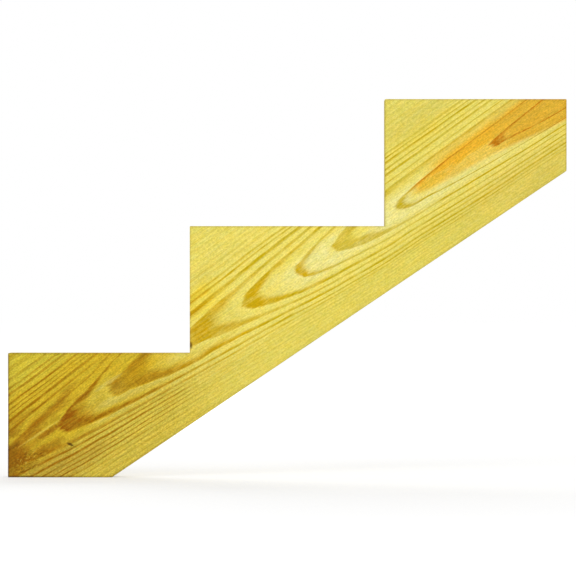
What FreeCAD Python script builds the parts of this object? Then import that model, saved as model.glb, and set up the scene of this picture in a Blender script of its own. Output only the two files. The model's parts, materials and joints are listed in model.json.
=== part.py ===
"""A sawtooth stair stringer, sawn in one piece from a dressed softwood plank.

X runs up the flight, Z is up from the landing and Y is across the plank's thickness.
The origin is the toe: the foot of the first riser cut, on the landing, in mid-thickness.
All sizes are in millimetres.
"""

import FreeCAD
import Part
import math
import os

# Driving dimensions of the flight
STEPS = 3                # tread cuts, from the landing up
UNIT_RISE = 181.0        # from one tread cut up to the next
UNIT_RUN = 278.0         # a full tread cut, from its nosing back to the next riser cut
END_TRIM = 19.0          # the first and the top tread cuts are this much shorter: one riser board
SEAT_DROP = 4.0          # the first riser cut is this much lower than the others

# Driving dimensions of the plank
PLANK_WIDTH = 235.0      # from the lower edge to the nosing that reaches the upper edge
PLANK_THICKNESS = 38.0
EASED_RADIUS = 3.0       # the planed round on the lower edge's two long arrises

SAME_POINT = 0.001       # corners closer than this are one corner
CUBIC_MM_PER_LITRE = 1e6


def tread_length(step):
    """Length of a tread cut: the ones at both ends of the flight are trimmed."""
    at_an_end = step in (0, STEPS - 1)
    return UNIT_RUN - END_TRIM if at_an_end else UNIT_RUN


def tread_ends():
    """The nosing and the back of each tread cut, as pairs of (x, z) corners."""
    ends = []
    x = 0.0
    z = UNIT_RISE - SEAT_DROP
    for step in range(STEPS):
        back_x = x + tread_length(step)
        ends.append(((x, z), (back_x, z)))
        x = back_x
        z += UNIT_RISE
    return ends


def lower_edge(treads):
    """The heel and the header foot: the two ends of the plank's uncut lower edge.

    The edge runs parallel to the line from the first nosing to the top one, a full plank's width
    below the nosing that stands furthest from it.
    """
    nosings = [nosing for nosing, back in treads]
    first, top = nosings[0], nosings[-1]
    pitch = math.atan2(top[1] - first[1], top[0] - first[0])
    crest = max(z * math.cos(pitch) - x * math.sin(pitch) for x, z in nosings)
    level = crest - PLANK_WIDTH
    header_x = treads[-1][1][0]
    heel = (-level / math.sin(pitch), 0.0)
    header_foot = (header_x, (level + header_x * math.sin(pitch)) / math.cos(pitch))
    return heel, header_foot


def outline(treads, heel, header_foot):
    """Corners of the side view: up the steps from the toe, then back along the lower edge."""
    toe = (0.0, 0.0)
    steps = [corner for tread in treads for corner in tread]
    return [toe] + steps + [header_foot, heel]


def sawn_plank(corners):
    """The side view given the plank's thickness, half to each side of the frame's XZ plane."""
    near_face = -PLANK_THICKNESS / 2
    loop = [FreeCAD.Vector(x, near_face, z) for x, z in corners]
    face = Part.Face(Part.makePolygon(loop + loop[:1]))
    return face.extrude(FreeCAD.Vector(0, PLANK_THICKNESS, 0))


def runs_between(edge, start, end):
    """True for an edge whose side view runs from one given corner to the other."""
    seen = [(vertex.X, vertex.Z) for vertex in edge.Vertexes]
    return any(
        math.dist(a, start) < SAME_POINT and math.dist(b, end) < SAME_POINT
        for a, b in (seen, seen[::-1])
    )


def stringer_board():
    """The whole stringer: sawn corners stay sharp, and the planed lower edge is eased."""
    treads = tread_ends()
    heel, header_foot = lower_edge(treads)
    board = sawn_plank(outline(treads, heel, header_foot))
    arrises = [edge for edge in board.Edges if runs_between(edge, heel, header_foot)]
    return board.makeFillet(EASED_RADIUS, arrises)


def main():
    os.makedirs("parts", exist_ok=True)
    board = stringer_board()
    board.exportStep("parts/stringer_board.step")
    box = board.optimalBoundingBox()
    litres = board.Volume / CUBIC_MM_PER_LITRE
    print(f"stringer_board: {box.XLength:.1f} x {box.YLength:.1f} x {box.ZLength:.1f} mm, {litres:.3f} litres")


main()
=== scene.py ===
"""Looks of a sawtooth stair stringer, sawn in one piece from a treated pine plank.

The board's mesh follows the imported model's outline, in metres, with rubbed and chipped saw-cut
arrises. Its wood is one solid figure of growth rings, so the sides, the cuts and the end grain agree.
The figure is described in the plank's own millimetres: along the grain from the toe, across from
the lower edge, and deep from the photographed side.
"""

import json
import math
import random

import bpy
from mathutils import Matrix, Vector, geometry, noise


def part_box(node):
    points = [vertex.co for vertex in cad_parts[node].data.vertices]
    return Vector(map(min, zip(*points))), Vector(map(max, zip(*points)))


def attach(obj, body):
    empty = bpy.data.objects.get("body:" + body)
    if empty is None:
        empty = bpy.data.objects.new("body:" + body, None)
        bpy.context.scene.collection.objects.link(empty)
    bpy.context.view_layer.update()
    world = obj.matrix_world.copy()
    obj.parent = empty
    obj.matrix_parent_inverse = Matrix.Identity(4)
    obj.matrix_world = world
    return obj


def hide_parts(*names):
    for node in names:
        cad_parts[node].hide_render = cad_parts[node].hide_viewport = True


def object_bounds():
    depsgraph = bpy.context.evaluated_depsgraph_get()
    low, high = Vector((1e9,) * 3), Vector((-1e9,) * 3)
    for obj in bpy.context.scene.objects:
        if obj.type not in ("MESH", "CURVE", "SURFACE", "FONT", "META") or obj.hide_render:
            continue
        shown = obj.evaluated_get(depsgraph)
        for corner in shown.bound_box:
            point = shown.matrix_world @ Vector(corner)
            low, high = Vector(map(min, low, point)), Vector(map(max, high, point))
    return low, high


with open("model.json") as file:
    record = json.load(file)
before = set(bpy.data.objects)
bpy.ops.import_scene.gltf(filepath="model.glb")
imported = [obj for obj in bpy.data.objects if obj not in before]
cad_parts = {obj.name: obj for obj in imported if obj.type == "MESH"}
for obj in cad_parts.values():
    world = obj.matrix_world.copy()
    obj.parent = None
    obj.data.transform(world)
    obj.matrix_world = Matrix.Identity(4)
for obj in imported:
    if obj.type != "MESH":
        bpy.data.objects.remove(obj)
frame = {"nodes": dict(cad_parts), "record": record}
cad_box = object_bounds()
board_middle = (Vector(cad_box[0]) + Vector(cad_box[1])) / 2.0

BOARD = "stringer_board"
BODY = "root"
STEP_NAMES = ("first", "second", "top")
SAME_PLACE = 1e-5
MM_PER_M = 1000.0

# Mesh of the board, in metres
MESH_STEP = 0.0022          # between sections along an edge
NEAR_CORNER = 0.0005        # extra section this far from an inner corner, to keep it crisp
ARRIS_STEPS = 5             # facets round an arris
CORNER_STEPS = 3            # facets round a square corner
SQUARE_DOT = 0.3            # an outer corner is square where its edges' normals agree less than this
SIDE_ROWS = 12              # rows of faces across the thickness
EDGE_WEAR_AND_SHADE_WIDTH = 0.0024         # how far the rubbed, grimy tone and painted shade reach in from an arris
PLANED_WEAR_AND_SHADE = 0.1           # its strength on the planed lower edge, where the round itself turns into shade
CAP_GRID = 0.010            # between points inside a planed side
CAP_ERROR = 0.0002          # how far a point beside an arris may be off its depth
CAP_MERGE = 1e-7            # points of a planed side that are closer than this fall together

# Arrises, in metres
SAWN_ROUND = 0.0005         # on the cuts
SAWN_WOBBLE = 0.45          # share of it that comes and goes
EASED_ROUND = 0.003         # planed on the lower edge
EASED_WOBBLE = 0.06
WOBBLES_PER_METRE = 130.0
SIDES_APART = 7.0           # so that the two sides wobble differently
CORNER_ROUND = 0.0012       # on nosings and other square corners
RUN_OUT = 0.007             # length over which the planed round runs out beside a cut
KERF_DEPTH = 0.00014        # ripple that the saw leaves in a cut
KERF_PITCH = 0.0045
KERF_SLANT = 0.35           # how far it leans along the cut, as a share of the way across
KERF_BEND = 5.0             # and how much it bends
KERF_FADE = 0.004           # it dies out this close to a corner
SAW_PITCH = 1.3             # between the saw's fine lines, in millimetres
SAW_BEND = 0.004            # how much they bend across the thickness
CHIP_SEED = 11
CHIPS = 34
CHIP_DEPTH = (0.0003, 0.0011)
CHIP_LENGTH = (0.002, 0.006)
CHIP_FADE = 0.008           # chips die out this close to a corner
TOE_CHIP_DEPTH = 0.0017     # long splinter gone from the near arris of the toe's seat
TOE_CHIP_LENGTH = 0.030

# Growth rings, in millimetres of the plank. The pith lies in front of the near side and comes closer to
# it towards the top, so each ring shows as an arch whose apex is where the pith is one radius away.
# Each arch has its apex along the plank, its radius, the share of late wood at the apex and in the legs,
# and how dark that is at the apex and in the legs.
ARCHES = (
    (837, 17.0, 0.14, 0.20, 0.95, 0.95),
    (675, 26.6, 0.16, 0.18, 0.76, 0.48),
    (569, 36.0, 0.45, 0.30, 0.60, 0.58),
    (505, 41.5, 0.37, 0.40, 0.70, 0.66),
    (417, 49.5, 0.42, 0.42, 0.95, 0.80),
    (322, 55.5, 0.74, 0.60, 0.80, 0.60),
    (192, 63.0, 0.58, 0.54, 0.55, 0.88),
    (105, 67.7, 0.66, 0.58, 0.95, 0.85),
    (15, 73.0, 0.65, 0.60, 0.60, 0.60),
)
OUTER_RINGS = (             # beyond the arches: radius, share and depth of late wood
    (77, 0.70, 0.85), (82, 0.60, 1.00), (87, 0.50, 0.75), (92, 0.50, 0.80), (97.5, 0.50, 0.95),
    (105, 0.50, 0.60), (112, 0.50, 0.55), (120, 0.50, 0.40), (130, 0.50, 0.40),
)
OUTER_PLAIN = 0.28          # share of their depth where the wood is not stained
THIN_LEGS = 0.5             # how much thinner the upper legs are in the stained wood
DEPTH_SHARE = 0.5           # rings lie further apart through the thickness than across the plank
LATE_LAG = 0.4              # how far past its radius a ring's late wood ends
LATE_END = (0.42, 1.1)      # within how much radius it ends at the apex, and in the legs
RING_EDGES = [arch[1] + LATE_LAG for arch in ARCHES] + [outer[0] for outer in OUTER_RINGS]
YEAR_TONE = 0.18            # how far the early wood darkens over a year
FEATHERING = 1.4            # how far a ring's edge is feathered
WANDERING = 3.0             # how far the pith line wanders
PITH_AT_TOE = 73.9          # how far the pith lies in front of the near side at the toe
PITH_AT_TOP = 5.0           # and at the top end
PLANK_LENGTH = 965.0
PITH_HEIGHT = (             # of the pith line across the plank, at places along it
    (0, 105), (70, 104.5), (107, 103), (150, 103), (200, 102.8), (322, 101),
    (410, 100), (500, 98), (568, 95.5), (672, 94), (833, 92), (965, 92),
)
HEART_BELOW = (             # how far the heartwood reaches below the pith line, at places along the plank
    (0, -9), (660, -6), (730, 5), (830, 14), (860, 18), (920, 28), (965, 34),
)
UPPER_SCALE = 1.484         # above the pith line the rings spread with a power of the distance
UPPER_POWER = 0.9
LOWER_SCALE = 0.39          # below it they crowd together
LOWER_POWER = 1.245
DRIFT_DEPTH = (3, 28)       # between these depths the drifts die out
UPPER_DRIFT_START = (3, 12)   # heights above the pith line over which they set in
LOWER_DRIFT_START = (3, 14)   # and below it
# How far rings have drifted outwards: a curve over their radius, times another along the plank
UPPER_DRIFTS = (
    (((0, 0), (28, 0), (39, 4.4), (46, 5.2), (54, 5.2), (59, 4.4), (65, 3.0), (70, 2.4), (78, 0), (140, 0)),
     ((0, 0), (480, 0), (560, 0.27), (710, 0.87), (860, 1), (965, 1))),
    (((0, 0), (20, 0), (28, 2.5), (33, 1.2), (39, 0), (140, 0)),
     ((0, 0), (680, 0), (707, 0.15), (745, 0.3), (790, 0.65), (860, 0.8), (965, 0.8))),
    (((44, 0), (50, 0.6), (56, 1.0), (62, 1.1), (67.5, 1.9), (73.5, 0.4), (80, 0), (140, 0)),
     ((0, 0), (130, 0.1), (200, 1.2), (265, 1.6), (330, 1.1), (480, 1), (640, 0.6), (720, 0), (965, 0))),
    (((60, 0), (67, 0), (80, 3.8), (140, 3.8)),
     ((0, 0), (190, 0), (290, 1), (965, 1))),
    (((66, 0), (72.8, 0.4), (79, 3), (84, 3), (87.2, 1.2), (90.2, -0.8), (94, -2.5), (101, -3),
      (105, -6), (140, -9)),
     ((0, 1), (190, 1), (290, 0), (965, 0))),
    (((0, 0), (66, 0), (70, 0.3), (74.5, 1), (80, 0), (140, 0)),
     ((0, 0), (170, 0), (245, 2.4), (330, 0), (400, -1.8), (640, -1.8), (800, -1.2), (965, -0.8))),
    (((0, 0), (57, 0), (62.7, -0.93), (66, -0.63), (70, 0), (140, 0)),
     ((0, 0), (170, 0), (215, 1.6), (265, 1.8), (340, 0.9), (480, 0.5), (640, 0.3), (760, 0), (965, 0))),
    (((0, 0), (12, 0), (17, -1), (22, 0), (140, 0)),
     ((0, 0), (835, 0), (870, 1), (965, 1))),
)
LOWER_DRIFTS = (
    (((40, 0), (45, 0), (56, 0.8), (63, 0.6), (69, 2.0), (75, 2.6), (84, 3.2), (140, 3.2)),
     ((0, 0.25), (120, 0.3), (170, 0.45), (300, 0.45), (400, 1), (600, 1), (690, 0), (965, 0))),
    (((42, 0), (48, 0.8), (56, 1.1), (70, 1.0), (76, 0), (140, 0)),
     ((0, 0), (450, 0), (520, 1), (620, 1), (690, 0), (965, 0))),
    (((0, 0), (51, 0), (57, -1.9), (62, -2.5), (66.5, 0), (140, 0)),
     ((0, 0), (170, 0), (210, 0.35), (240, 0.5), (262, 0.4), (290, 0.15), (325, 0.25),
      (360, 0.75), (400, 0.45), (470, 0.1), (965, 0.1))),
    (((0, 0), (47, 0), (55, -0.9), (60, 0), (140, 0)),
     ((0, 0), (300, 0), (330, 0.6), (375, 1), (430, 0.5), (480, 0), (965, 0))),
    (((0, 0), (12, 0), (17, -3), (22, 0), (140, 0)),
     ((0, 0), (835, 0), (860, 1), (965, 1))),
    (((0, 0), (31, 0), (36, 1.0), (42, 1.1), (46, 0), (140, 0)),
     ((0, 0), (495, 0), (525, 1), (625, 1), (660, 0.2), (690, 0), (965, 0))),
    (((0, 0), (21, 0), (26, -1.2), (35, -1.6), (41, 0), (140, 0)),
     ((0, 0), (690, 0), (740, 1), (830, 0.9), (880, 0.5), (965, 0.3))),
)

# Textures of the wood: length and width of their features, detail and roughness
WANDER = (150.0, 50.0, 2.0, 0.5)
FEATHER = (60.0, 4.0, 3.0, 0.6)
STREAKS = (35.0, 3.0, 3.0, 0.6)
DOTS = (7.0, 3.0, 2.0, 0.5)
STAIN_EDGE = (90.0, 30.0, 2.0, 0.5)
CLOUDS = (110.0, 16.0, 2.0, 0.5)
HEART_CLOUDS = (24.0, 8.0, 2.0, 0.5)
RAGGED_TINT = (16.0, 8.0, 3.0, 0.6)
RAGGED_STAIN = (7.0, 5.0, 3.0, 0.7)
RAGGED_GRIME = (6.0, 6.0, 3.0, 0.7)
SPECKS = (5.0, 3.5, 2.0, 0.7)
FIBRES = (45.0, 1.2, 3.0, 0.6)
FLECKS = (3.1, 2.1, 2.0, 0.6)
PATCHES = (10.0, 5.0, 2.0, 0.6)
BLOTCHES = (22.0, 10.0, 2.0, 0.5)
RING_LINE_PITCH = 1.1

# Stains and tints: place along and across the plank, reach each way, strength
BROWN_STAINS = (
    (16, 98, 32, 23, 0.75),
    (98, 126, 48, 8, 0.42),
    (72, 85, 30, 8, 0.55),
    (86, 104.5, 26, 4.5, 0.75),
    (70, 103, 30, 7, 0.25),
    (118, 131.5, 20, 4, 0.40),
    (132, 135.5, 18, 4, 0.45),
    (145, 140, 16, 3.5, 0.40),
    (66, 143.5, 26, 3.5, 0.45),
    (48, 136, 22, 6, 0.35),
    (60, 66, 50, 15, 0.30),
    (95, 46, 62, 16, 0.28),
    (66, 114, 13, 5, 0.45),
    (43, 129, 11, 5.5, 0.55),
    (79, 115, 13, 4, 0.35),
    (102, 114.5, 12, 3.5, 0.30),
    (34, 79, 18, 4.5, 0.40),
    (60, 91, 10, 4.5, 0.40),
    (152, 120.5, 16, 2.6, 0.40),
    (150, 99, 9, 9, 0.18),
)
DARK_STAINS = (
    (30, 115, 13, 3.5, 0.45),
)
GOLD_TINTS = (
    (596, 94, 36, 14, 0.95),
    (500, 112, 42, 8, 0.45),
    (378, 148, 30, 7, 0.70),
    (372, 136, 36, 26, 0.75),
    (728, 94, 34, 9, 0.70),
    (345, 102, 24, 10, 0.30),
    (760, 160, 62, 14, 0.40),
    (246, 106, 26, 9, 0.60),
)
DULL_TINTS = (
    (765, 180, 68, 18, 1.0),
    (430, 172, 62, 14, 0.45),
    (872, 6, 50, 14, 0.6),
    (388, 102, 34, 24, 0.6),
    (386, 162, 22, 22, 0.55),
    (340, 42, 70, 22, 0.35),
)
RUST_TINTS = (
    (368, 145, 22, 4, 0.9),
    (357, 128, 16, 4.5, 0.9),
    (388, 113, 12, 5, 0.7),
    (383, 87, 16, 6, 0.5),
    (294, 81, 28, 4, 0.9),
    (358, 74, 36, 3, 0.9),
)
ROSE_TINTS = (
    (850, 30, 110, 34, 0.8),
)
PALE_STREAKS = (
    (74, 109.8, 38, 1.8, 0.30),
    (194, 115, 24, 3, 0.55),
)
WARM_STREAKS = (
    (143, 111.5, 20, 4.5, 0.42),
)

# Marks: place along and across the plank, reach each way, and how far the last two lean
TOE_SCUFF = (34.0, 85.0, 36.0, 20.0)
PITCH_POCKET = (100.0, 72.0, 2.4, 5.5, -0.5)
RISER_FOOT_DIRT = (321.0, 93.0, 3.0, 4.5, 0.5)

# Camera and stage: the photograph is a level elevation, 576 pixels square
IMAGE_PIXELS = 576
PHOTO_SCALE = 0.001425      # metres of the board's near side in one pixel
TOE_PIXEL = (8.0, 477.3)    # where the toe lies in the image, from its top left corner
LENS = 200.0
SENSOR = 36.0
FLOOR_SIZE = 40.0
FLOOR_GLOW = (0.48, 0.73)   # makes up what the light lacks to white, near the board and far from it
FLOOR_FADE = (0.7, 2.2)     # from and to which distance it changes
FLOOR_GAP = 0.0003          # between the floor and the seat
FLOOR_PALE = (0.8, 0.8, 0.8, 1.0)
FLOOR_SHADED = (0.5, 0.5, 0.5, 1.0)
WHITE = (1.0, 1.0, 1.0, 1.0)
AMBIENT = 0.55
LAMP_SIZE = 2.4
LAMPS = (                   # name, place, power
    ("key", (-1.6, -3.4, 2.6), 70.0),
    ("fill", (2.4, -3.2, 1.6), 35.0),
    ("back", (0.8, 3.0, 2.8), 80.0),
)

# Surface of the wood
SMOOTHEST = 0.58            # roughness between the fibres
FIBRE_ROUGHNESS = 0.2       # and what a fibre adds to it
GLOSS = 0.08
BUMP_STRENGTH = 0.5
BUMP_HEIGHT = 0.0002        # in metres
SAW_BUMP = 2.0              # how much more the saw's lines stand out than the grain


def tone(red, green, blue):
    """A colour as it looks on screen, in 0 to 255, as linear light."""
    parts = [part / 255.0 for part in (red, green, blue)]
    linear = [p / 12.92 if p <= 0.04045 else ((p + 0.055) / 1.055) ** 2.4 for p in parts]
    return (*linear, 1.0)


# Colours of the wood: plain, stained and heart, then marks, and tints that multiply
EARLY = tone(238, 222, 110)
EARLY_PALE = tone(239, 229, 142)
EARLY_TOP = tone(231, 217, 106)
LATE_OLIVE = tone(195, 168, 4)
LATE_GOLD = tone(206, 166, 6)
STAINED_LOW = tone(218, 197, 76)
STAINED_WARM = tone(213, 182, 44)
STAINED_TOP = tone(211, 192, 58)
STAINED_ARCH = tone(211, 186, 62)
STAINED_LATE = tone(164, 114, 2)
STAINED_PALE = tone(216, 200, 96)
CORE_LATE = tone(150, 88, 2)
HEART_EARLY = tone(233, 198, 82)
HEART_RICH = tone(237, 184, 49)
HEART_TIP = tone(222, 178, 56)
HEART_LATE = tone(192, 118, 8)
LOW_STRIP = tone(228, 212, 98)
TOE_BROWN = tone(152, 96, 6)
TOE_DARK = tone(98, 62, 4)
PITCH = tone(78, 46, 8)
GOLD_TINT = (1.02, 0.96, 0.52, 1.0)
DULL_TINT = (0.90, 0.90, 0.86, 1.0)
RUST_TINT = (0.93, 0.86, 0.62, 1.0)
ROSE_TINT = (1.0, 0.95, 1.03, 1.0)
# grimy, rubbed tone of the arrises, partly painted shade where their rounds turn away from the light
EDGE_WEAR_AND_SHADE = (0.62, 0.6, 0.45, 1.0)
TOP_END = (0.955, 0.955, 0.95, 1.0)
END_GRAIN = (0.88, 0.83, 0.72, 1.0)


def read_outline():
    """The outline's nine corners (x, z): from the toe up the flight, then back along the lower edge."""
    places = {mount["name"]: mount["pos_m"] for mount in frame["record"]["mounts"]}
    low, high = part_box(BOARD)
    points = [vertex.co for vertex in frame["nodes"][BOARD].data.vertices]
    riser_x = [places[step + "_riser_cut"][0] for step in STEP_NAMES]
    tread_z = [places[step + "_tread_cut"][2] for step in STEP_NAMES]
    heel_x = max(point.x for point in points if point.z - low[2] < SAME_PLACE)
    header_foot_z = min(point.z for point in points if high[0] - point.x < SAME_PLACE)
    corners = [(low[0], low[2])]
    for x, z, next_x in zip(riser_x, tread_z, riser_x[1:] + [high[0]]):
        corners += [(x, z), (next_x, z)]
    corners += [(high[0], header_foot_z), (heel_x, low[2])]
    return [Vector(corner) for corner in corners]


class Section:
    """One place on the outline: its point, the way into the wood, and where on its edge it lies."""

    def __init__(self, point, inward, length, planed, from_end):
        self.point = point
        self.inward = inward
        self.length = length
        self.planed = planed
        self.from_end = from_end


def inward_of(start, end):
    """The unit normal into the wood of an outline edge."""
    way = (end - start).normalized()
    return Vector((way.y, -way.x))


def mitre(first, second):
    """The vector that insets two edges by one unit at the corner where they meet."""
    return (first + second) / (1.0 + first.dot(second))


def is_inner(first, second):
    """True for a corner that points into the wood, from the ways into the wood of its two edges."""
    return first.x * second.y - first.y * second.x > 0.0


def corner_sections(corner, first, second):
    """A square corner gets a small arc; an inner or a blunt one is a single mitred section."""
    square = first.dot(second) < SQUARE_DOT and not is_inner(first, second)
    if not square:
        return [Section(corner, mitre(first, second), 0.0, False, 0.0)]
    centre = corner + mitre(first, second) * CORNER_ROUND
    ways = [first.slerp(second, step / CORNER_STEPS) for step in range(CORNER_STEPS + 1)]
    return [Section(centre - way * CORNER_ROUND, way, 0.0, False, 0.0) for way in ways]


def edge_sections(start, end, trims, crisp, planed, length):
    """Evenly spaced sections between the corners' own, with one more beside a crisp corner."""
    whole = (end - start).length
    way = (end - start).normalized()
    inward = inward_of(start, end)
    first, last = trims[0], whole - trims[1]
    count = max(2, round((last - first) / MESH_STEP))
    places = [first + (last - first) * step / count for step in range(1, count)]
    if crisp[0]:
        places.insert(0, NEAR_CORNER)
    if crisp[1]:
        places.append(whole - NEAR_CORNER)
    return [Section(start + way * place, inward, length + place, planed, min(place, whole - place))
            for place in places]


def walk_outline(corners):
    """All sections of the outline in order, with their running length."""
    count = len(corners)
    inwards = [inward_of(corners[i], corners[(i + 1) % count]) for i in range(count)]
    rounded = [corner_sections(corners[i], inwards[i - 1], inwards[i]) for i in range(count)]
    trims = [CORNER_ROUND if len(group) > 1 else 0.0 for group in rounded]
    inner = [is_inner(inwards[i - 1], inwards[i]) for i in range(count)]
    planed_edge = count - 2
    sections = []
    length = 0.0
    for i in range(count):
        following = (i + 1) % count
        for section in rounded[i]:
            section.length = length
            section.planed = i in (planed_edge, planed_edge + 1)
        sections += rounded[i]
        sections += edge_sections(corners[i], corners[following], (trims[i], trims[following]),
                                  (inner[i], inner[following]), i == planed_edge, length)
        length += (corners[following] - corners[i]).length
    return sections


def chip_places(total):
    """Where splinters have left the cut arrises: length along the outline, side, reach and depth."""
    dice = random.Random(CHIP_SEED)
    chips = []
    for _ in range(CHIPS):
        side = dice.choice((0, 1, 1))
        place = dice.uniform(0.0, total)
        chips.append((place, side, dice.uniform(*CHIP_LENGTH), dice.uniform(*CHIP_DEPTH)))
    return chips


def toe_chip(from_toe):
    """Depth of the splinter that is gone from the toe's seat, at a place measured from the toe."""
    share = from_toe.x / TOE_CHIP_LENGTH
    on_seat = from_toe.y < SAME_PLACE and share < 1.0
    return TOE_CHIP_DEPTH * (1.0 - (2.0 * share - 1.0) ** 4) if on_seat else 0.0


def arris_radius(section, side, chips, planed_run, toe):
    """The round of one arris at a section; side 0 is the photographed one."""
    wobble = noise.noise(Vector((section.length * WOBBLES_PER_METRE, side * SIDES_APART, 0.5)))
    if section.planed:
        return EASED_ROUND * (1.0 + EASED_WOBBLE * wobble)
    radius = SAWN_ROUND * (1.0 + SAWN_WOBBLE * wobble)
    settle = min(1.0, section.from_end / CHIP_FADE)
    for place, chip_side, reach, depth in chips:
        off = abs(section.length - place) / reach
        if chip_side == side and off < 1.0:
            radius += settle * depth * (1.0 - off * off) ** 2
    if side == 0:
        radius += toe_chip(section.point - toe)
    near = max(0.0, 1.0 - planed_run / RUN_OUT)
    return radius + (EASED_ROUND - radius) * near * near


def kerf_ripple(section, y):
    """How far the saw's teeth have cut into the face at a point of a section."""
    if section.planed:
        return 0.0
    slant = section.length + KERF_SLANT * y + KERF_BEND * y * y
    ripple = noise.noise(Vector((slant / KERF_PITCH, 3.7, 0.0))) * 0.5 + 0.5
    return KERF_DEPTH * ripple * min(1.0, section.from_end / KERF_FADE)


def section_points(section, radii, half):
    """Points and normals of one section, from the near side round to the far side."""
    points = []
    unit = section.inward.normalized()

    def put(inset, y, tilt, facing):
        place = section.point + section.inward * inset
        normal = Vector((-unit.x * math.sin(tilt), facing * math.cos(tilt), -unit.y * math.sin(tilt)))
        points.append((Vector((place.x, y, place.y)), normal))

    for step in range(ARRIS_STEPS + 1):
        tilt = math.pi / 2.0 * step / ARRIS_STEPS
        put(radii[0] * (1.0 - math.sin(tilt)), -half + radii[0] * (1.0 - math.cos(tilt)), tilt, -1.0)
    for row in range(1, SIDE_ROWS):
        y = -half + radii[0] + (2.0 * half - radii[0] - radii[1]) * row / SIDE_ROWS
        put(kerf_ripple(section, y), y, math.pi / 2.0, -1.0)
    for step in range(ARRIS_STEPS, -1, -1):
        tilt = math.pi / 2.0 * step / ARRIS_STEPS
        put(radii[1] * (1.0 - math.sin(tilt)), half - radii[1] * (1.0 - math.cos(tilt)), tilt, 1.0)
    return points


def depth_inside(point, corners):
    """Distance from a point in the outline to its nearest edge, or a negative one from outside."""
    nearest = math.inf
    inside = False
    for start, end in zip(corners, corners[1:] + corners[:1]):
        edge = end - start
        share = min(1.0, max(0.0, (point - start).dot(edge) / edge.length_squared))
        nearest = min(nearest, (point - start - edge * share).length)
        if (start.y > point.y) != (end.y > point.y):
            crossing = start.x + (point.y - start.y) * edge.x / edge.y
            inside ^= point.x < crossing
    return nearest if inside else -nearest


def cap_points(sections, corners):
    """Points inside a planed side: a row just in from the arrises, and a coarse grid."""
    reach = EASED_ROUND + EDGE_WEAR_AND_SHADE_WIDTH
    points = []
    for section in sections[::2]:
        inset = reach if section.planed else SAWN_ROUND + EDGE_WEAR_AND_SHADE_WIDTH
        point = section.point + section.inward.normalized() * inset
        if abs(depth_inside(point, corners) - inset) < CAP_ERROR:
            points.append(point)
    low, high = cad_box
    columns = int((high[0] - low[0]) / CAP_GRID)
    rows = int((high[2] - low[2]) / CAP_GRID)
    for column in range(columns):
        for row in range(rows):
            shift = 0.5 * (row % 2)
            point = Vector((low[0] + (column + shift) * CAP_GRID, low[2] + (row + 0.5) * CAP_GRID))
            if depth_inside(point, corners) > reach + 0.5 * CAP_GRID:
                points.append(point)
    return points


def fill_cap(rim, inner):
    """Triangles of a planed side, over the rim's points and then the inner ones."""
    flat = rim + inner
    loop = list(range(len(rim)))
    found, _, faces, origins, _, _ = geometry.delaunay_2d_cdt(flat, [], [loop], 1, CAP_MERGE)
    if len(found) != len(flat):
        raise RuntimeError("two points of a planed side fell together")
    return [[origins[index][0] for index in face] for face in faces]


def worn_sections(sections, toe, half):
    """Points and normals of every section, with its two arrises worn."""
    chips = chip_places(sections[-1].length)
    planed = [section.length for section in sections if section.planed]
    rows = []
    for section in sections:
        planed_run = min(abs(section.length - planed[0]), abs(section.length - planed[-1]))
        radii = [arris_radius(section, side, chips, planed_run, toe) for side in (0, 1)]
        rows.append(section_points(section, radii, half))
    return rows


def edge_faces(count, width):
    """Four-sided faces between each section and the next, right round the outline."""
    faces = []
    for section in range(count):
        first = section * width
        second = (section + 1) % count * width
        for step in range(width - 1):
            faces.append((first + step, second + step, second + step + 1, first + step + 1))
    return faces


def add_board(points, faces, normals, wear_and_shade):
    """The board's object, shaded by its own normals and with its arris wear and painted shade as an
    attribute.
    """
    mesh = bpy.data.meshes.new("sawn_board")
    mesh.from_pydata(points, [], faces)
    mesh.attributes.new("wear_and_shade", "FLOAT", "POINT").data.foreach_set("value", wear_and_shade)
    mesh.shade_smooth()
    mesh.normals_split_custom_set_from_vertices([normal.normalized() for normal in normals])
    board = bpy.data.objects.new("sawn_board", mesh)
    bpy.context.collection.objects.link(board)
    return board


def build_board(corners):
    """The whole board as one closed mesh, with its rubbed arrises marked for the material's grime tone and
    painted shade.
    """
    low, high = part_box(BOARD)
    half = (high[1] - low[1]) / 2.0
    sections = walk_outline(corners)
    rows = worn_sections(sections, corners[0], half)
    count = len(rows)
    width = len(rows[0])
    points = [point for row in rows for point, _ in row]
    normals = [normal for row in rows for _, normal in row]
    arris = [index <= ARRIS_STEPS or index >= width - 1 - ARRIS_STEPS for index in range(width)]
    wear_and_shade = [worn * (PLANED_WEAR_AND_SHADE if section.planed else 1.0) for section in sections for worn in arris]
    faces = edge_faces(count, width)
    inner = cap_points(sections, corners)
    for side, column in ((-1.0, 0), (1.0, width - 1)):
        rim = [Vector((row[column][0].x, row[column][0].z)) for row in rows]
        indices = [section * width + column for section in range(count)]
        indices += range(len(points), len(points) + len(inner))
        cap = [[indices[index] for index in face] for face in fill_cap(rim, inner)]
        faces += cap if side < 0.0 else [face[::-1] for face in cap]
        points += [Vector((point.x, side * half, point.y)) for point in inner]
        normals += [Vector((0.0, side, 0.0))] * len(inner)
        wear_and_shade += [0.0] * len(inner)
    return add_board(points, faces, normals, wear_and_shade)


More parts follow.
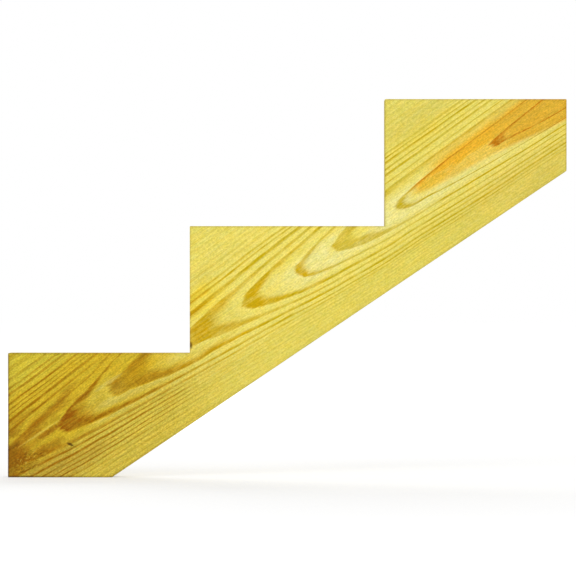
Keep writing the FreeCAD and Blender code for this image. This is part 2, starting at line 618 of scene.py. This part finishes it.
class Nodes:
    """Adds nodes to one shader tree. A value may be a socket, a number, a vector or a colour."""

    def __init__(self, tree):
        self.tree = tree
        tree.nodes.clear()

    def add(self, kind, **settings):
        node = self.tree.nodes.new(kind)
        for name, value in settings.items():
            setattr(node, name, value)
        return node

    def join(self, value, socket):
        if isinstance(value, bpy.types.NodeSocket):
            self.tree.links.new(value, socket)
        else:
            socket.default_value = value

    def feed(self, node, *values):
        """Gives a node its first inputs, and returns its first output."""
        for socket, value in zip(node.inputs, values):
            self.join(value, socket)
        return node.outputs[0]

    def math(self, operation, *values):
        return self.feed(self.add("ShaderNodeMath", operation=operation), *values)

    def product(self, first, *others):
        for other in others:
            first = self.math("MULTIPLY", first, other)
        return first

    def rest_of(self, share):
        """What a share leaves of the whole."""
        return self.math("SUBTRACT", 1.0, share)

    def show(self, kind, shader):
        """Ends the tree with an output node of that kind."""
        self.join(shader, self.add(kind).inputs["Surface"])

    def dot(self, vector, constant):
        node = self.add("ShaderNodeVectorMath", operation="DOT_PRODUCT")
        self.feed(node, vector, constant)
        return node.outputs["Value"]

    def vector(self, x, y, z):
        return self.feed(self.add("ShaderNodeCombineXYZ"), x, y, z)

    def ease(self, value, start, end, low=0.0, high=1.0):
        """Goes smoothly from low, where the value is at start, to high, where it is at end."""
        node = self.add("ShaderNodeMapRange", interpolation_type="SMOOTHSTEP")
        return self.feed(node, value, start, end, low, high)

    def mix(self, factor, first, second, blend="MIX"):
        node = self.add("ShaderNodeMix", data_type="RGBA", blend_type=blend)
        self.join(factor, node.inputs[0])
        self.join(first, node.inputs[6])
        self.join(second, node.inputs[7])
        return node.outputs[2]

    def tint(self, share, colour, by):
        """A colour multiplied by another one, to a share."""
        return self.mix(share, colour, by, "MULTIPLY")

    def noise(self, vector, detail, roughness):
        """Smooth noise with features about one unit wide, from 0 to 1."""
        node = self.add("ShaderNodeTexNoise")
        self.join(vector, node.inputs["Vector"])
        node.inputs["Scale"].default_value = 1.0
        node.inputs["Detail"].default_value = detail
        node.inputs["Roughness"].default_value = roughness
        return node.outputs["Fac"]

    def line_noise(self, value, detail, roughness=0.5):
        """Noise that changes with one number only."""
        return self.noise(self.vector(value, 0.0, 0.0), detail, roughness)

    def curve(self, value, points, handle="AUTO"):
        """A curve drawn through points (x, y), looked up at a value."""
        start, end = points[0][0], points[-1][0]
        heights = [y for _, y in points]
        low, high = min(heights), max(heights)
        spots = [((x - start) / (end - start), (y - low) / (high - low)) for x, y in points]
        node = self.add("ShaderNodeFloatCurve")
        drawn = node.mapping.curves[0]
        drawn.points[0].location = spots[0]
        drawn.points[1].location = spots[-1]
        for spot in spots[1:-1]:
            drawn.points.new(*spot)
        for point in drawn.points:
            point.handle_type = handle
        node.mapping.update()
        share = self.math("DIVIDE", self.math("SUBTRACT", value, start), end - start)
        self.join(share, node.inputs["Value"])
        return self.math("MULTIPLY_ADD", node.outputs[0], high - low, low)


class Plank:
    """Where a point lies in the plank, in millimetres: along the grain, across it and deep."""

    def __init__(self, n, corners):
        heel, header_foot = corners[-1], corners[-2]
        way = (header_foot - heel).normalized()
        rise = Vector((-way.y, 0.0, way.x))
        lower_edge = rise.dot(Vector((heel.x, 0.0, heel.y)))
        near_side = cad_box[0][1]
        texture = n.add("ShaderNodeTexCoord").outputs
        self.n = n
        self.grain = Vector((way.x, 0.0, way.y))
        self.point = texture["Object"]
        self.normal = texture["Normal"]
        self.along = n.dot(self.point, self.grain * MM_PER_M)
        self.across = n.math("SUBTRACT", n.dot(self.point, rise * MM_PER_M), lower_edge * MM_PER_M)
        self.deep = n.math("SUBTRACT", n.dot(self.point, (0.0, MM_PER_M, 0.0)), near_side * MM_PER_M)

    def noise(self, length, width, detail, roughness):
        """Noise with features of that length and width."""
        sizes = ((self.along, length), (self.across, width), (self.deep, width))
        scaled = [self.n.math("DIVIDE", value, size) for value, size in sizes]
        return self.n.noise(self.n.vector(*scaled), detail, roughness)

    def ripple(self, length, width, detail, roughness):
        """The same noise about zero."""
        return self.n.math("SUBTRACT", self.noise(length, width, detail, roughness), 0.5)

    def spot(self, along, across, length, width, lean=0.0):
        """0 in the middle of a spot and 1 on its rim; it may lean up or down the plank."""
        n = self.n
        aside = n.math("SUBTRACT", self.across, across)
        ahead = n.math("SUBTRACT", n.math("MULTIPLY_ADD", aside, -lean, self.along), along)
        first = n.math("DIVIDE", ahead, length)
        second = n.math("DIVIDE", aside, width)
        return n.math("SQRT", n.math("MULTIPLY_ADD", first, first, n.product(second, second)))


class Rings:
    """The growth rings at a point: distance from the pith, height above its line, and late wood."""

    def __init__(self, plank, stained):
        self.n = plank.n
        self.find_height(plank)
        self.find_radius(plank)
        self.find_year(plank)
        self.find_late(plank, stained)

    def find_height(self, plank):
        """How far a point lies above or below the pith line."""
        n = self.n
        across = n.math("MULTIPLY_ADD", plank.ripple(*WANDER), WANDERING, plank.across)
        self.above = n.math("SUBTRACT", across, n.curve(plank.along, PITH_HEIGHT))
        self.below = n.math("MAXIMUM", n.product(self.above, -1.0), 0.0)
        self.from_line = n.math("ABSOLUTE", self.above)

    def find_radius(self, plank):
        """How far the ring that a point lies in is from the pith."""
        n = self.n
        upper = n.math("POWER", n.math("MAXIMUM", self.above, 0.0), UPPER_POWER)
        lower = n.math("POWER", self.below, LOWER_POWER)
        beside = n.math("ADD", n.product(upper, UPPER_SCALE), n.product(lower, LOWER_SCALE))
        apexes = [arch[:2] for arch in reversed(ARCHES)]
        ahead = n.curve(plank.along, [(0.0, PITH_AT_TOE)] + apexes + [(PLANK_LENGTH, PITH_AT_TOP)])
        ahead = n.math("MULTIPLY_ADD", plank.deep, DEPTH_SHARE, ahead)
        square = n.math("MULTIPLY_ADD", ahead, ahead, n.product(beside, beside))
        self.radius = self.without_drift(plank, n.math("SQRT", square))

    def without_drift(self, plank, radius):
        """The radius that a point would have if the rings had grown true."""
        n = self.n
        above = n.ease(self.above, *UPPER_DRIFT_START)
        below = n.ease(self.below, *LOWER_DRIFT_START)
        upper = n.product(self.drift(plank, radius, UPPER_DRIFTS), above)
        lower = n.product(self.drift(plank, radius, LOWER_DRIFTS), below)
        near = n.ease(plank.deep, *DRIFT_DEPTH, 1.0, 0.0)
        return n.math("SUBTRACT", radius, n.product(near, n.math("ADD", upper, lower)))

    def drift(self, plank, radius, parts):
        """The sum of some drifts, each a curve over the radius times one along the plank."""
        n = self.n
        total = 0.0
        for by_radius, by_place in parts:
            far = n.curve(radius, by_radius, "AUTO_CLAMPED")
            total = n.math("MULTIPLY_ADD", far, n.curve(plank.along, by_place, "AUTO_CLAMPED"), total)
        return total

    def find_year(self, plank):
        """The ring at a point, the part of its year, and whether it is in a leg or past the arches."""
        n = self.n
        radius = n.math("MULTIPLY_ADD", plank.ripple(*FEATHER), FEATHERING, self.radius)
        ends = [(0.0, 0.0)] + [(edge, index + 1) for index, edge in enumerate(RING_EDGES)]
        years = n.curve(radius, ends, "VECTOR")
        self.ring = n.math("ADD", n.math("FLOOR", years), 0.5)
        self.year = n.math("FRACT", years)
        self.leg = n.ease(self.from_line, 8.0, 32.0)
        self.outside = n.math("GREATER_THAN", self.ring, len(ARCHES))

    def by_ring(self, values):
        """A value of each ring's own, looked up at the ring's middle."""
        spots = [(index + 0.5, value) for index, value in enumerate(values)]
        return self.n.curve(self.n.math("MINIMUM", self.ring, spots[-1][0]), spots, "VECTOR")

    def apex_to_leg(self, column, outer_values):
        """A ring's value at its apex, from a column of the arches, and in its legs, from the next one."""
        n = self.n
        at_apex = self.by_ring([arch[column] for arch in ARCHES] + outer_values)
        in_legs = self.by_ring([arch[column + 1] for arch in ARCHES] + outer_values)
        return n.math("MULTIPLY_ADD", n.math("SUBTRACT", in_legs, at_apex), self.leg, at_apex)

    def late_share(self, stained):
        """The share of a year that is late wood: less in the upper legs where the wood is stained."""
        n = self.n
        share = self.apex_to_leg(2, [outer[1] for outer in OUTER_RINGS])
        upper_legs = n.ease(self.above, 14.0, 34.0, 0.0, THIN_LEGS)
        thin = n.product(stained, upper_legs, n.rest_of(self.outside))
        return n.product(share, n.rest_of(thin))

    def late_course(self, share):
        """How late wood comes in over its share of a year and breaks off at the year's end."""
        n = self.n
        start = n.rest_of(share)
        full = n.math("MULTIPLY_ADD", share, -0.5, 1.0)
        widths = [outer - inner for inner, outer in zip([0.0] + RING_EDGES, RING_EDGES)]
        end = n.math("MULTIPLY_ADD", self.leg, LATE_END[1] - LATE_END[0], LATE_END[0])
        drop = n.rest_of(n.math("DIVIDE", end, self.by_ring(widths)))
        return n.product(n.ease(self.year, start, full), n.ease(self.year, 1.0, drop))

    def find_late(self, plank, stained):
        """Late wood darkens to the end of each year's growth, then the ring starts pale and fresh again."""
        n = self.n
        depth = self.apex_to_leg(4, [outer[2] for outer in OUTER_RINGS])
        course = self.late_course(self.late_share(stained))
        dark = n.product(course, depth, self.unevenness(plank, stained))
        self.fresh = n.product(n.ease(self.year, 0.5, 0.1), n.rest_of(self.outside))
        self.late = n.math("MINIMUM", n.math("MULTIPLY_ADD", self.year, YEAR_TONE, dark), 1.0)

    def unevenness(self, plank, stained):
        """Late wood comes and goes along a ring, and is stronger or weaker in some places."""
        n = self.n
        own = n.vector(n.math("DIVIDE", plank.along, 40.0),
                       n.math("MULTIPLY_ADD", self.ring, 3.7, n.math("DIVIDE", plank.across, 60.0)),
                       n.math("DIVIDE", plank.deep, 30.0))
        stretches = n.ease(n.noise(own, 3.0, 0.65), 0.3, 0.7, 0.65, 1.2)
        to_lower_edge = n.ease(plank.across, 6.0, 42.0, 0.3, 1.0)
        height = n.math("MULTIPLY_ADD", stained, -26.0, self.above)
        to_upper_edge = n.ease(height, 66.0, 80.0, 1.0, 0.45)
        streaks = n.ease(plank.noise(*STREAKS), 0.3, 0.7, 0.72, 1.2)
        return n.product(stretches, to_lower_edge, to_upper_edge, streaks, self.low_legs(plank),
                         self.first_ring(plank), self.outer_rings(plank))

    def low_legs(self, plank):
        """The lower legs of the inner rings are stronger in the top third of the plank."""
        n = self.n
        lower = n.ease(self.below, 12.0, 22.0)
        inner = n.ease(self.radius, 42.0, 38.0)
        top_third = n.ease(plank.along, 700.0, 790.0, 0.0, 1.3)
        return n.math("ADD", n.product(lower, inner, top_third), 1.0)

    def first_ring(self, plank):
        """The first ring is broken up into dots."""
        n = self.n
        dots = n.ease(plank.noise(*DOTS), 0.38, 0.58, 0.55, 1.05)
        first = n.math("LESS_THAN", self.ring, 1.0)
        return n.math("MULTIPLY_ADD", n.math("SUBTRACT", dots, 1.0), first, 1.0)

    def outer_rings(self, plank):
        """Rings past the arches are fainter in the plain wood, which starts sooner high on the plank."""
        n = self.n
        place = n.math("MULTIPLY_ADD", n.ease(self.above, 10.0, 30.0), 100.0, plank.along)
        plain = n.ease(place, 190.0, 340.0, 0.0, 1.0 - OUTER_PLAIN)
        return n.rest_of(n.product(self.outside, plain))


def plain_wood(plank, rings):
    """Pale yellow early wood with olive lines, golden in the arches, and duller low on the plank."""
    n = plank.n
    clouds = n.ease(plank.noise(*CLOUDS), 0.42, 0.62)
    in_clouds = n.product(clouds, n.ease(rings.from_line, 60.0, 25.0, 0.35, 1.0))
    in_arches = n.ease(rings.from_line, 32.0, 14.0, 0.0, 0.75)
    in_toe_half = n.ease(plank.along, 480.0, 350.0, 0.0, 0.75)
    gold = n.math("MAXIMUM", n.math("MAXIMUM", in_clouds, in_arches), in_toe_half)
    gold = n.product(gold, n.ease(plank.along, 570.0, 490.0))
    aside = n.math("MAXIMUM", n.product(rings.above, 1.7), rings.below)
    past_middle = n.ease(plank.along, 440.0, 530.0)
    before_heart = n.ease(plank.along, 710.0, 790.0, 1.0, 0.7)
    early = n.mix(n.product(n.ease(aside, 36.0, 14.0), past_middle, before_heart), EARLY, EARLY_PALE)
    early = n.mix(n.ease(plank.across, 178.0, 205.0), early, EARLY_TOP)
    early = n.mix(n.ease(plank.across, 55.0, 28.0), early, LOW_STRIP)
    colour = n.mix(rings.late, early, n.mix(gold, LATE_OLIVE, LATE_GOLD))
    return n.tint(n.ease(plank.along, 560.0, 760.0), colour, TOP_END)


def heart_wood(plank, rings):
    """Orange wood near the pith, browner at the top end, and where it lies."""
    n = plank.n
    height = n.math("MULTIPLY_ADD", plank.noise(*HEART_CLOUDS), 30.0, rings.above)
    early = n.mix(n.ease(height, 14.0, 26.0), HEART_EARLY, HEART_RICH)
    early = n.mix(n.ease(plank.along, 825.0, 880.0), early, HEART_TIP)
    colour = n.mix(rings.late, early, HEART_LATE)
    past_low_side = n.math("SUBTRACT", rings.below, n.curve(plank.along, HEART_BELOW))
    inside = n.product(n.ease(rings.radius, 39.0, 26.0), n.ease(past_low_side, 4.0, -4.0))
    held_back = n.ease(rings.radius, RING_EDGES[1] - 0.6, RING_EDGES[1] + 0.6, 0.0, 60.0)
    reach = n.math("SUBTRACT", n.math("MULTIPLY_ADD", rings.above, 0.5, plank.along), held_back)
    return colour, n.product(inside, n.ease(reach, 668.0, 728.0))


def stained_wood(plank, rings):
    """Darker, browner wood of the toe's third of the plank."""
    n = plank.n
    early = n.mix(n.ease(rings.above, 62.0, 85.0), STAINED_WARM, STAINED_TOP)
    early = n.mix(n.ease(rings.below, 18.0, 45.0), early, STAINED_LOW)
    in_arch = n.product(n.ease(plank.along, 130.0, 165.0), n.ease(plank.along, 220.0, 195.0),
                        n.ease(rings.from_line, 25.0, 10.0))
    early = n.mix(in_arch, early, STAINED_ARCH)
    in_low_legs = n.ease(rings.below, 4.0, 10.0, 0.0, 0.65)
    past_toe = n.ease(plank.along, 120.0, 170.0)
    early = n.mix(n.product(rings.fresh, in_low_legs, past_toe), early, STAINED_PALE)
    core = n.product(n.ease(rings.from_line, 28.0, 8.0), n.ease(plank.along, 190.0, 110.0))
    return n.mix(rings.late, early, n.mix(core, STAINED_LATE, CORE_LATE))


def tinted_wood(plank, colour):
    """Golden, dull, rusty and rosy clouds here and there in the wood."""
    n = plank.n
    ragged = plank.ripple(*RAGGED_TINT)
    kinds = ((GOLD_TINTS, GOLD_TINT), (DULL_TINTS, DULL_TINT), (RUST_TINTS, RUST_TINT),
             (ROSE_TINTS, ROSE_TINT))
    for places, tint in kinds:
        for along, across, length, width, strength in places:
            rim = n.math("MULTIPLY_ADD", ragged, 0.9, plank.spot(along, across, length, width))
            colour = n.tint(n.ease(rim, 1.3, 0.4, 0.0, strength), colour, tint)
    return colour


def toe_stains(plank, soaked, ragged, colour):
    """Brown and dark stains and paler streaks round the toe."""
    n = plank.n
    kinds = ((BROWN_STAINS, TOE_BROWN), (DARK_STAINS, TOE_DARK), (PALE_STREAKS, STAINED_PALE),
             (WARM_STREAKS, STAINED_WARM))
    for stains, stain in kinds:
        for along, across, length, width, strength in stains:
            rim = n.math("MULTIPLY_ADD", ragged, 1.1, plank.spot(along, across, length, width))
            colour = n.mix(n.product(soaked, n.ease(rim, 1.2, 0.5, 0.0, strength)), colour, stain)
    return colour


def toe_marks(plank, colour):
    """Stains and scuffs on the toe, a small pitch pocket, and dirt at the second riser's foot."""
    n = plank.n
    ragged = plank.ripple(*RAGGED_STAIN)
    soaked = n.ease(plank.deep, 6.0, 32.0, 1.0, 0.5)
    shallow = n.ease(plank.deep, 3.0, 8.0, 1.0, 0.0)
    colour = toe_stains(plank, soaked, ragged, colour)
    speck = plank.noise(*SPECKS)
    scuffed = n.product(n.ease(plank.spot(*TOE_SCUFF), 1.1, 0.4), soaked)
    colour = n.mix(n.product(scuffed, n.ease(speck, 0.5, 0.66, 0.0, 0.6)), colour, TOE_DARK)
    colour = n.mix(n.product(scuffed, n.ease(speck, 0.44, 0.32, 0.0, 0.5)), colour, STAINED_LOW)
    pocket = n.math("MULTIPLY_ADD", ragged, 0.8, plank.spot(*PITCH_POCKET))
    colour = n.mix(n.product(shallow, n.ease(pocket, 1.2, 0.5, 0.0, 0.85)), colour, PITCH)
    foot = plank.spot(*RISER_FOOT_DIRT)
    return n.mix(n.product(shallow, n.ease(foot, 1.3, 0.4, 0.0, 0.7)), colour, PITCH)


def toe_grime(plank, colour):
    """Dirt along the first riser and the toe's seat, fading in from the cuts."""
    n = plank.n
    ragged = plank.ripple(*RAGGED_GRIME)
    from_riser = n.math("SUBTRACT", n.dot(plank.point, (MM_PER_M, 0.0, 0.0)), cad_box[0][0] * MM_PER_M)
    from_seat = n.math("SUBTRACT", n.dot(plank.point, (0.0, 0.0, MM_PER_M)), cad_box[0][2] * MM_PER_M)
    riser = n.ease(n.math("MULTIPLY_ADD", ragged, 5.0, from_riser), 3.4, 0.2, 0.0, 0.6)
    riser = n.math("MAXIMUM", riser, n.ease(from_riser, 16.0, 2.0, 0.0, 0.2))
    riser = n.product(riser, n.ease(plank.across, 170.0, 150.0, 0.5, 1.0))
    seat = n.ease(n.math("MULTIPLY_ADD", ragged, 5.0, from_seat), 3.4, 0.2, 0.0, 0.45)
    seat = n.product(seat, n.ease(plank.along, 90.0, 50.0, 0.3, 1.0))
    return n.mix(n.math("MAXIMUM", riser, seat), colour, TOE_DARK)


def fine_grain(plank, rings, stained, heart_share, colour):
    """Fibres, flecks, fine ring lines and faint blotches over the figure."""
    n = plank.n
    fibre = plank.noise(*FIBRES)
    patch = plank.noise(*PATCHES)
    blotch = plank.noise(*BLOTCHES)
    ring_line = n.line_noise(n.math("DIVIDE", rings.radius, RING_LINE_PITCH), 1.0)
    grain = 0.0
    for texture, weight in ((fibre, 0.30), (plank.noise(*FLECKS), 0.42), (ring_line, 0.14), (patch, 0.14)):
        grain = n.math("MULTIPLY_ADD", texture, weight, grain)
    shade = n.ease(grain, 0.36, 0.64, 0.81, 1.12)
    contrast = n.math("MULTIPLY_ADD", heart_share, 0.35, n.math("MULTIPLY_ADD", stained, 0.65, 1.15))
    shade = n.math("POWER", shade, contrast)
    warm = n.product(shade, n.ease(blotch, 0.3, 0.7, 0.965, 1.03))
    cool = n.product(shade, n.ease(blotch, 0.3, 0.7, 1.04, 0.93), n.ease(patch, 0.3, 0.7, 0.86, 1.12))
    return n.tint(1.0, colour, n.vector(warm, shade, cool)), fibre


def saw_marks(plank, colour):
    """Darker end grain and the saw's fine slanting lines on the cuts, and how strongly they show."""
    n = plank.n
    end_grain = n.ease(n.math("ABSOLUTE", n.dot(plank.normal, plank.grain)), 0.2, 0.5)
    colour = n.tint(end_grain, colour, END_GRAIN)
    level = n.math("ABSOLUTE", n.dot(plank.normal, (0.0, 0.0, 1.0)))
    upright = n.math("ABSOLUTE", n.dot(plank.normal, (1.0, 0.0, 0.0)))
    cut = n.ease(n.math("MAXIMUM", level, upright), 0.9, 0.98)
    run = n.dot(plank.point, (MM_PER_M, KERF_SLANT * MM_PER_M, MM_PER_M))
    bend = n.product(plank.deep, plank.deep, SAW_BEND)
    lines = n.line_noise(n.math("DIVIDE", n.math("ADD", run, bend), SAW_PITCH), 3.0, 0.6)
    shade = n.ease(lines, 0.3, 0.7, 0.86, 1.08)
    return n.tint(cut, colour, n.vector(shade, shade, shade)), n.product(lines, cut)


def finish_surface(n, colour, fibre, relief):
    """A dull surface, rougher on the fibres, with a fine relief."""
    bump = n.add("ShaderNodeBump")
    bump.inputs["Strength"].default_value = BUMP_STRENGTH
    bump.inputs["Distance"].default_value = BUMP_HEIGHT
    n.join(relief, bump.inputs["Height"])
    surface = n.add("ShaderNodeBsdfPrincipled")
    n.join(colour, surface.inputs["Base Color"])
    n.join(n.math("MULTIPLY_ADD", fibre, FIBRE_ROUGHNESS, SMOOTHEST), surface.inputs["Roughness"])
    surface.inputs["Specular IOR Level"].default_value = GLOSS
    n.join(bump.outputs[0], surface.inputs["Normal"])
    n.show("ShaderNodeOutputMaterial", surface.outputs[0])


def treated_pine(corners):
    """Planed and sawn pine: rings, heartwood, fibres, the toe's stain, rubbed arrises with painted shade,
    and saw marks.
    """
    material = bpy.data.materials.new("treated_pine")
    material.use_nodes = True
    n = Nodes(material.node_tree)
    plank = Plank(n, corners)
    place = n.math("MULTIPLY_ADD", plank.ripple(*STAIN_EDGE), 120.0, plank.along)
    stained = n.ease(place, 385.0, 225.0)
    rings = Rings(plank, stained)
    heart, heart_share = heart_wood(plank, rings)
    colour = n.mix(heart_share, plain_wood(plank, rings), heart)
    colour = n.mix(stained, colour, stained_wood(plank, rings))
    colour = tinted_wood(plank, colour)
    colour = toe_marks(plank, colour)
    colour = toe_grime(plank, colour)
    colour, fibre = fine_grain(plank, rings, stained, heart_share, colour)
    colour, sawn = saw_marks(plank, colour)
    # arrises darken with grime and wear, more towards the toe, and with painted shade of their rounds
    worn = n.add("ShaderNodeAttribute", attribute_name="wear_and_shade").outputs["Fac"]
    dirt = n.ease(plank.along, 260.0, 60.0, 0.5, 1.0)
    colour = n.tint(n.product(worn, dirt), colour, EDGE_WEAR_AND_SHADE)
    relief = n.math("MULTIPLY_ADD", sawn, SAW_BUMP, n.math("ADD", fibre, rings.late))
    finish_surface(n, colour, fibre, relief)
    return material


def seen_share(n):
    """1 for rays that show the stage to the camera, directly or in a reflection, and 0 for its light."""
    path = n.add("ShaderNodeLightPath").outputs
    mirrored = n.math("MAXIMUM", path["Is Glossy Ray"], path["Is Transmission Ray"])
    return n.math("MAXIMUM", path["Is Camera Ray"], mirrored)


def floor_material():
    """Pale floor that looks white and keeps the board's shadow."""
    material = bpy.data.materials.new("pale_floor")
    material.use_nodes = True
    n = Nodes(material.node_tree)
    plain = n.add("ShaderNodeBsdfDiffuse")
    plain.inputs["Color"].default_value = FLOOR_PALE
    shaded = n.add("ShaderNodeBsdfDiffuse")
    shaded.inputs["Color"].default_value = FLOOR_SHADED
    glow = n.add("ShaderNodeEmission")
    place = n.add("ShaderNodeTexCoord").outputs["Object"]
    away = n.add("ShaderNodeVectorMath", operation="DISTANCE")
    n.feed(away, place, (board_middle.x, board_middle.y, 0.0))
    n.join(n.ease(away.outputs["Value"], *FLOOR_FADE, *FLOOR_GLOW), glow.inputs["Strength"])
    both = n.feed(n.add("ShaderNodeAddShader"), shaded.outputs[0], glow.outputs[0])
    choice = n.feed(n.add("ShaderNodeMixShader"), seen_share(n), plain.outputs[0], both)
    n.show("ShaderNodeOutputMaterial", choice)
    return material


def add_floor():
    """A wide floor just under the seat."""
    half = FLOOR_SIZE / 2.0
    level = cad_box[0][2] - FLOOR_GAP
    mesh = bpy.data.meshes.new("floor")
    square = [(-half, -half, level), (half, -half, level), (half, half, level), (-half, half, level)]
    mesh.from_pydata(square, [], [(0, 1, 2, 3)])
    mesh.materials.append(floor_material())
    floor = bpy.data.objects.new("floor", mesh)
    bpy.context.collection.objects.link(floor)


def set_world():
    """White to look at, and a soft even light on the board."""
    world = bpy.data.worlds.new("studio")
    bpy.context.scene.world = world
    world.use_nodes = True
    n = Nodes(world.node_tree)
    light = n.add("ShaderNodeBackground")
    light.inputs["Strength"].default_value = AMBIENT
    light.inputs["Color"].default_value = WHITE
    white = n.add("ShaderNodeBackground")
    white.inputs["Color"].default_value = WHITE
    choice = n.feed(n.add("ShaderNodeMixShader"), seen_share(n), light.outputs[0], white.outputs[0])
    n.show("ShaderNodeOutputWorld", choice)


def add_lamp(name, place, power):
    """A large soft lamp that faces the board and isn't seen itself."""
    lamp = bpy.data.lights.new(name, "AREA")
    lamp.size = LAMP_SIZE
    lamp.energy = power
    item = bpy.data.objects.new(name, lamp)
    item.location = place
    item.rotation_euler = (board_middle - Vector(place)).to_track_quat("-Z", "Y").to_euler()
    item.visible_camera = False
    bpy.context.collection.objects.link(item)


def add_camera():
    """A level view, square to the near side, with the toe at its pixel of the photograph."""
    low = cad_box[0]
    centre = IMAGE_PIXELS / 2.0
    x = low[0] + (centre - TOE_PIXEL[0]) * PHOTO_SCALE
    z = low[2] + (TOE_PIXEL[1] - centre) * PHOTO_SCALE
    distance = IMAGE_PIXELS * PHOTO_SCALE * LENS / SENSOR
    data = bpy.data.cameras.new("camera")
    data.lens = LENS
    data.sensor_width = SENSOR
    camera = bpy.data.objects.new("camera", data)
    camera.location = (x, low[1] - distance, z)
    camera.rotation_euler = (math.pi / 2.0, 0.0, 0.0)
    bpy.context.collection.objects.link(camera)
    bpy.context.scene.camera = camera


outline = read_outline()
board = build_board(outline)
board.data.materials.append(treated_pine(outline))
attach(board, BODY)
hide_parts(BOARD)

add_floor()
set_world()
for lamp in LAMPS:
    add_lamp(*lamp)
add_camera()
bpy.context.scene.view_settings.view_transform = "Standard"
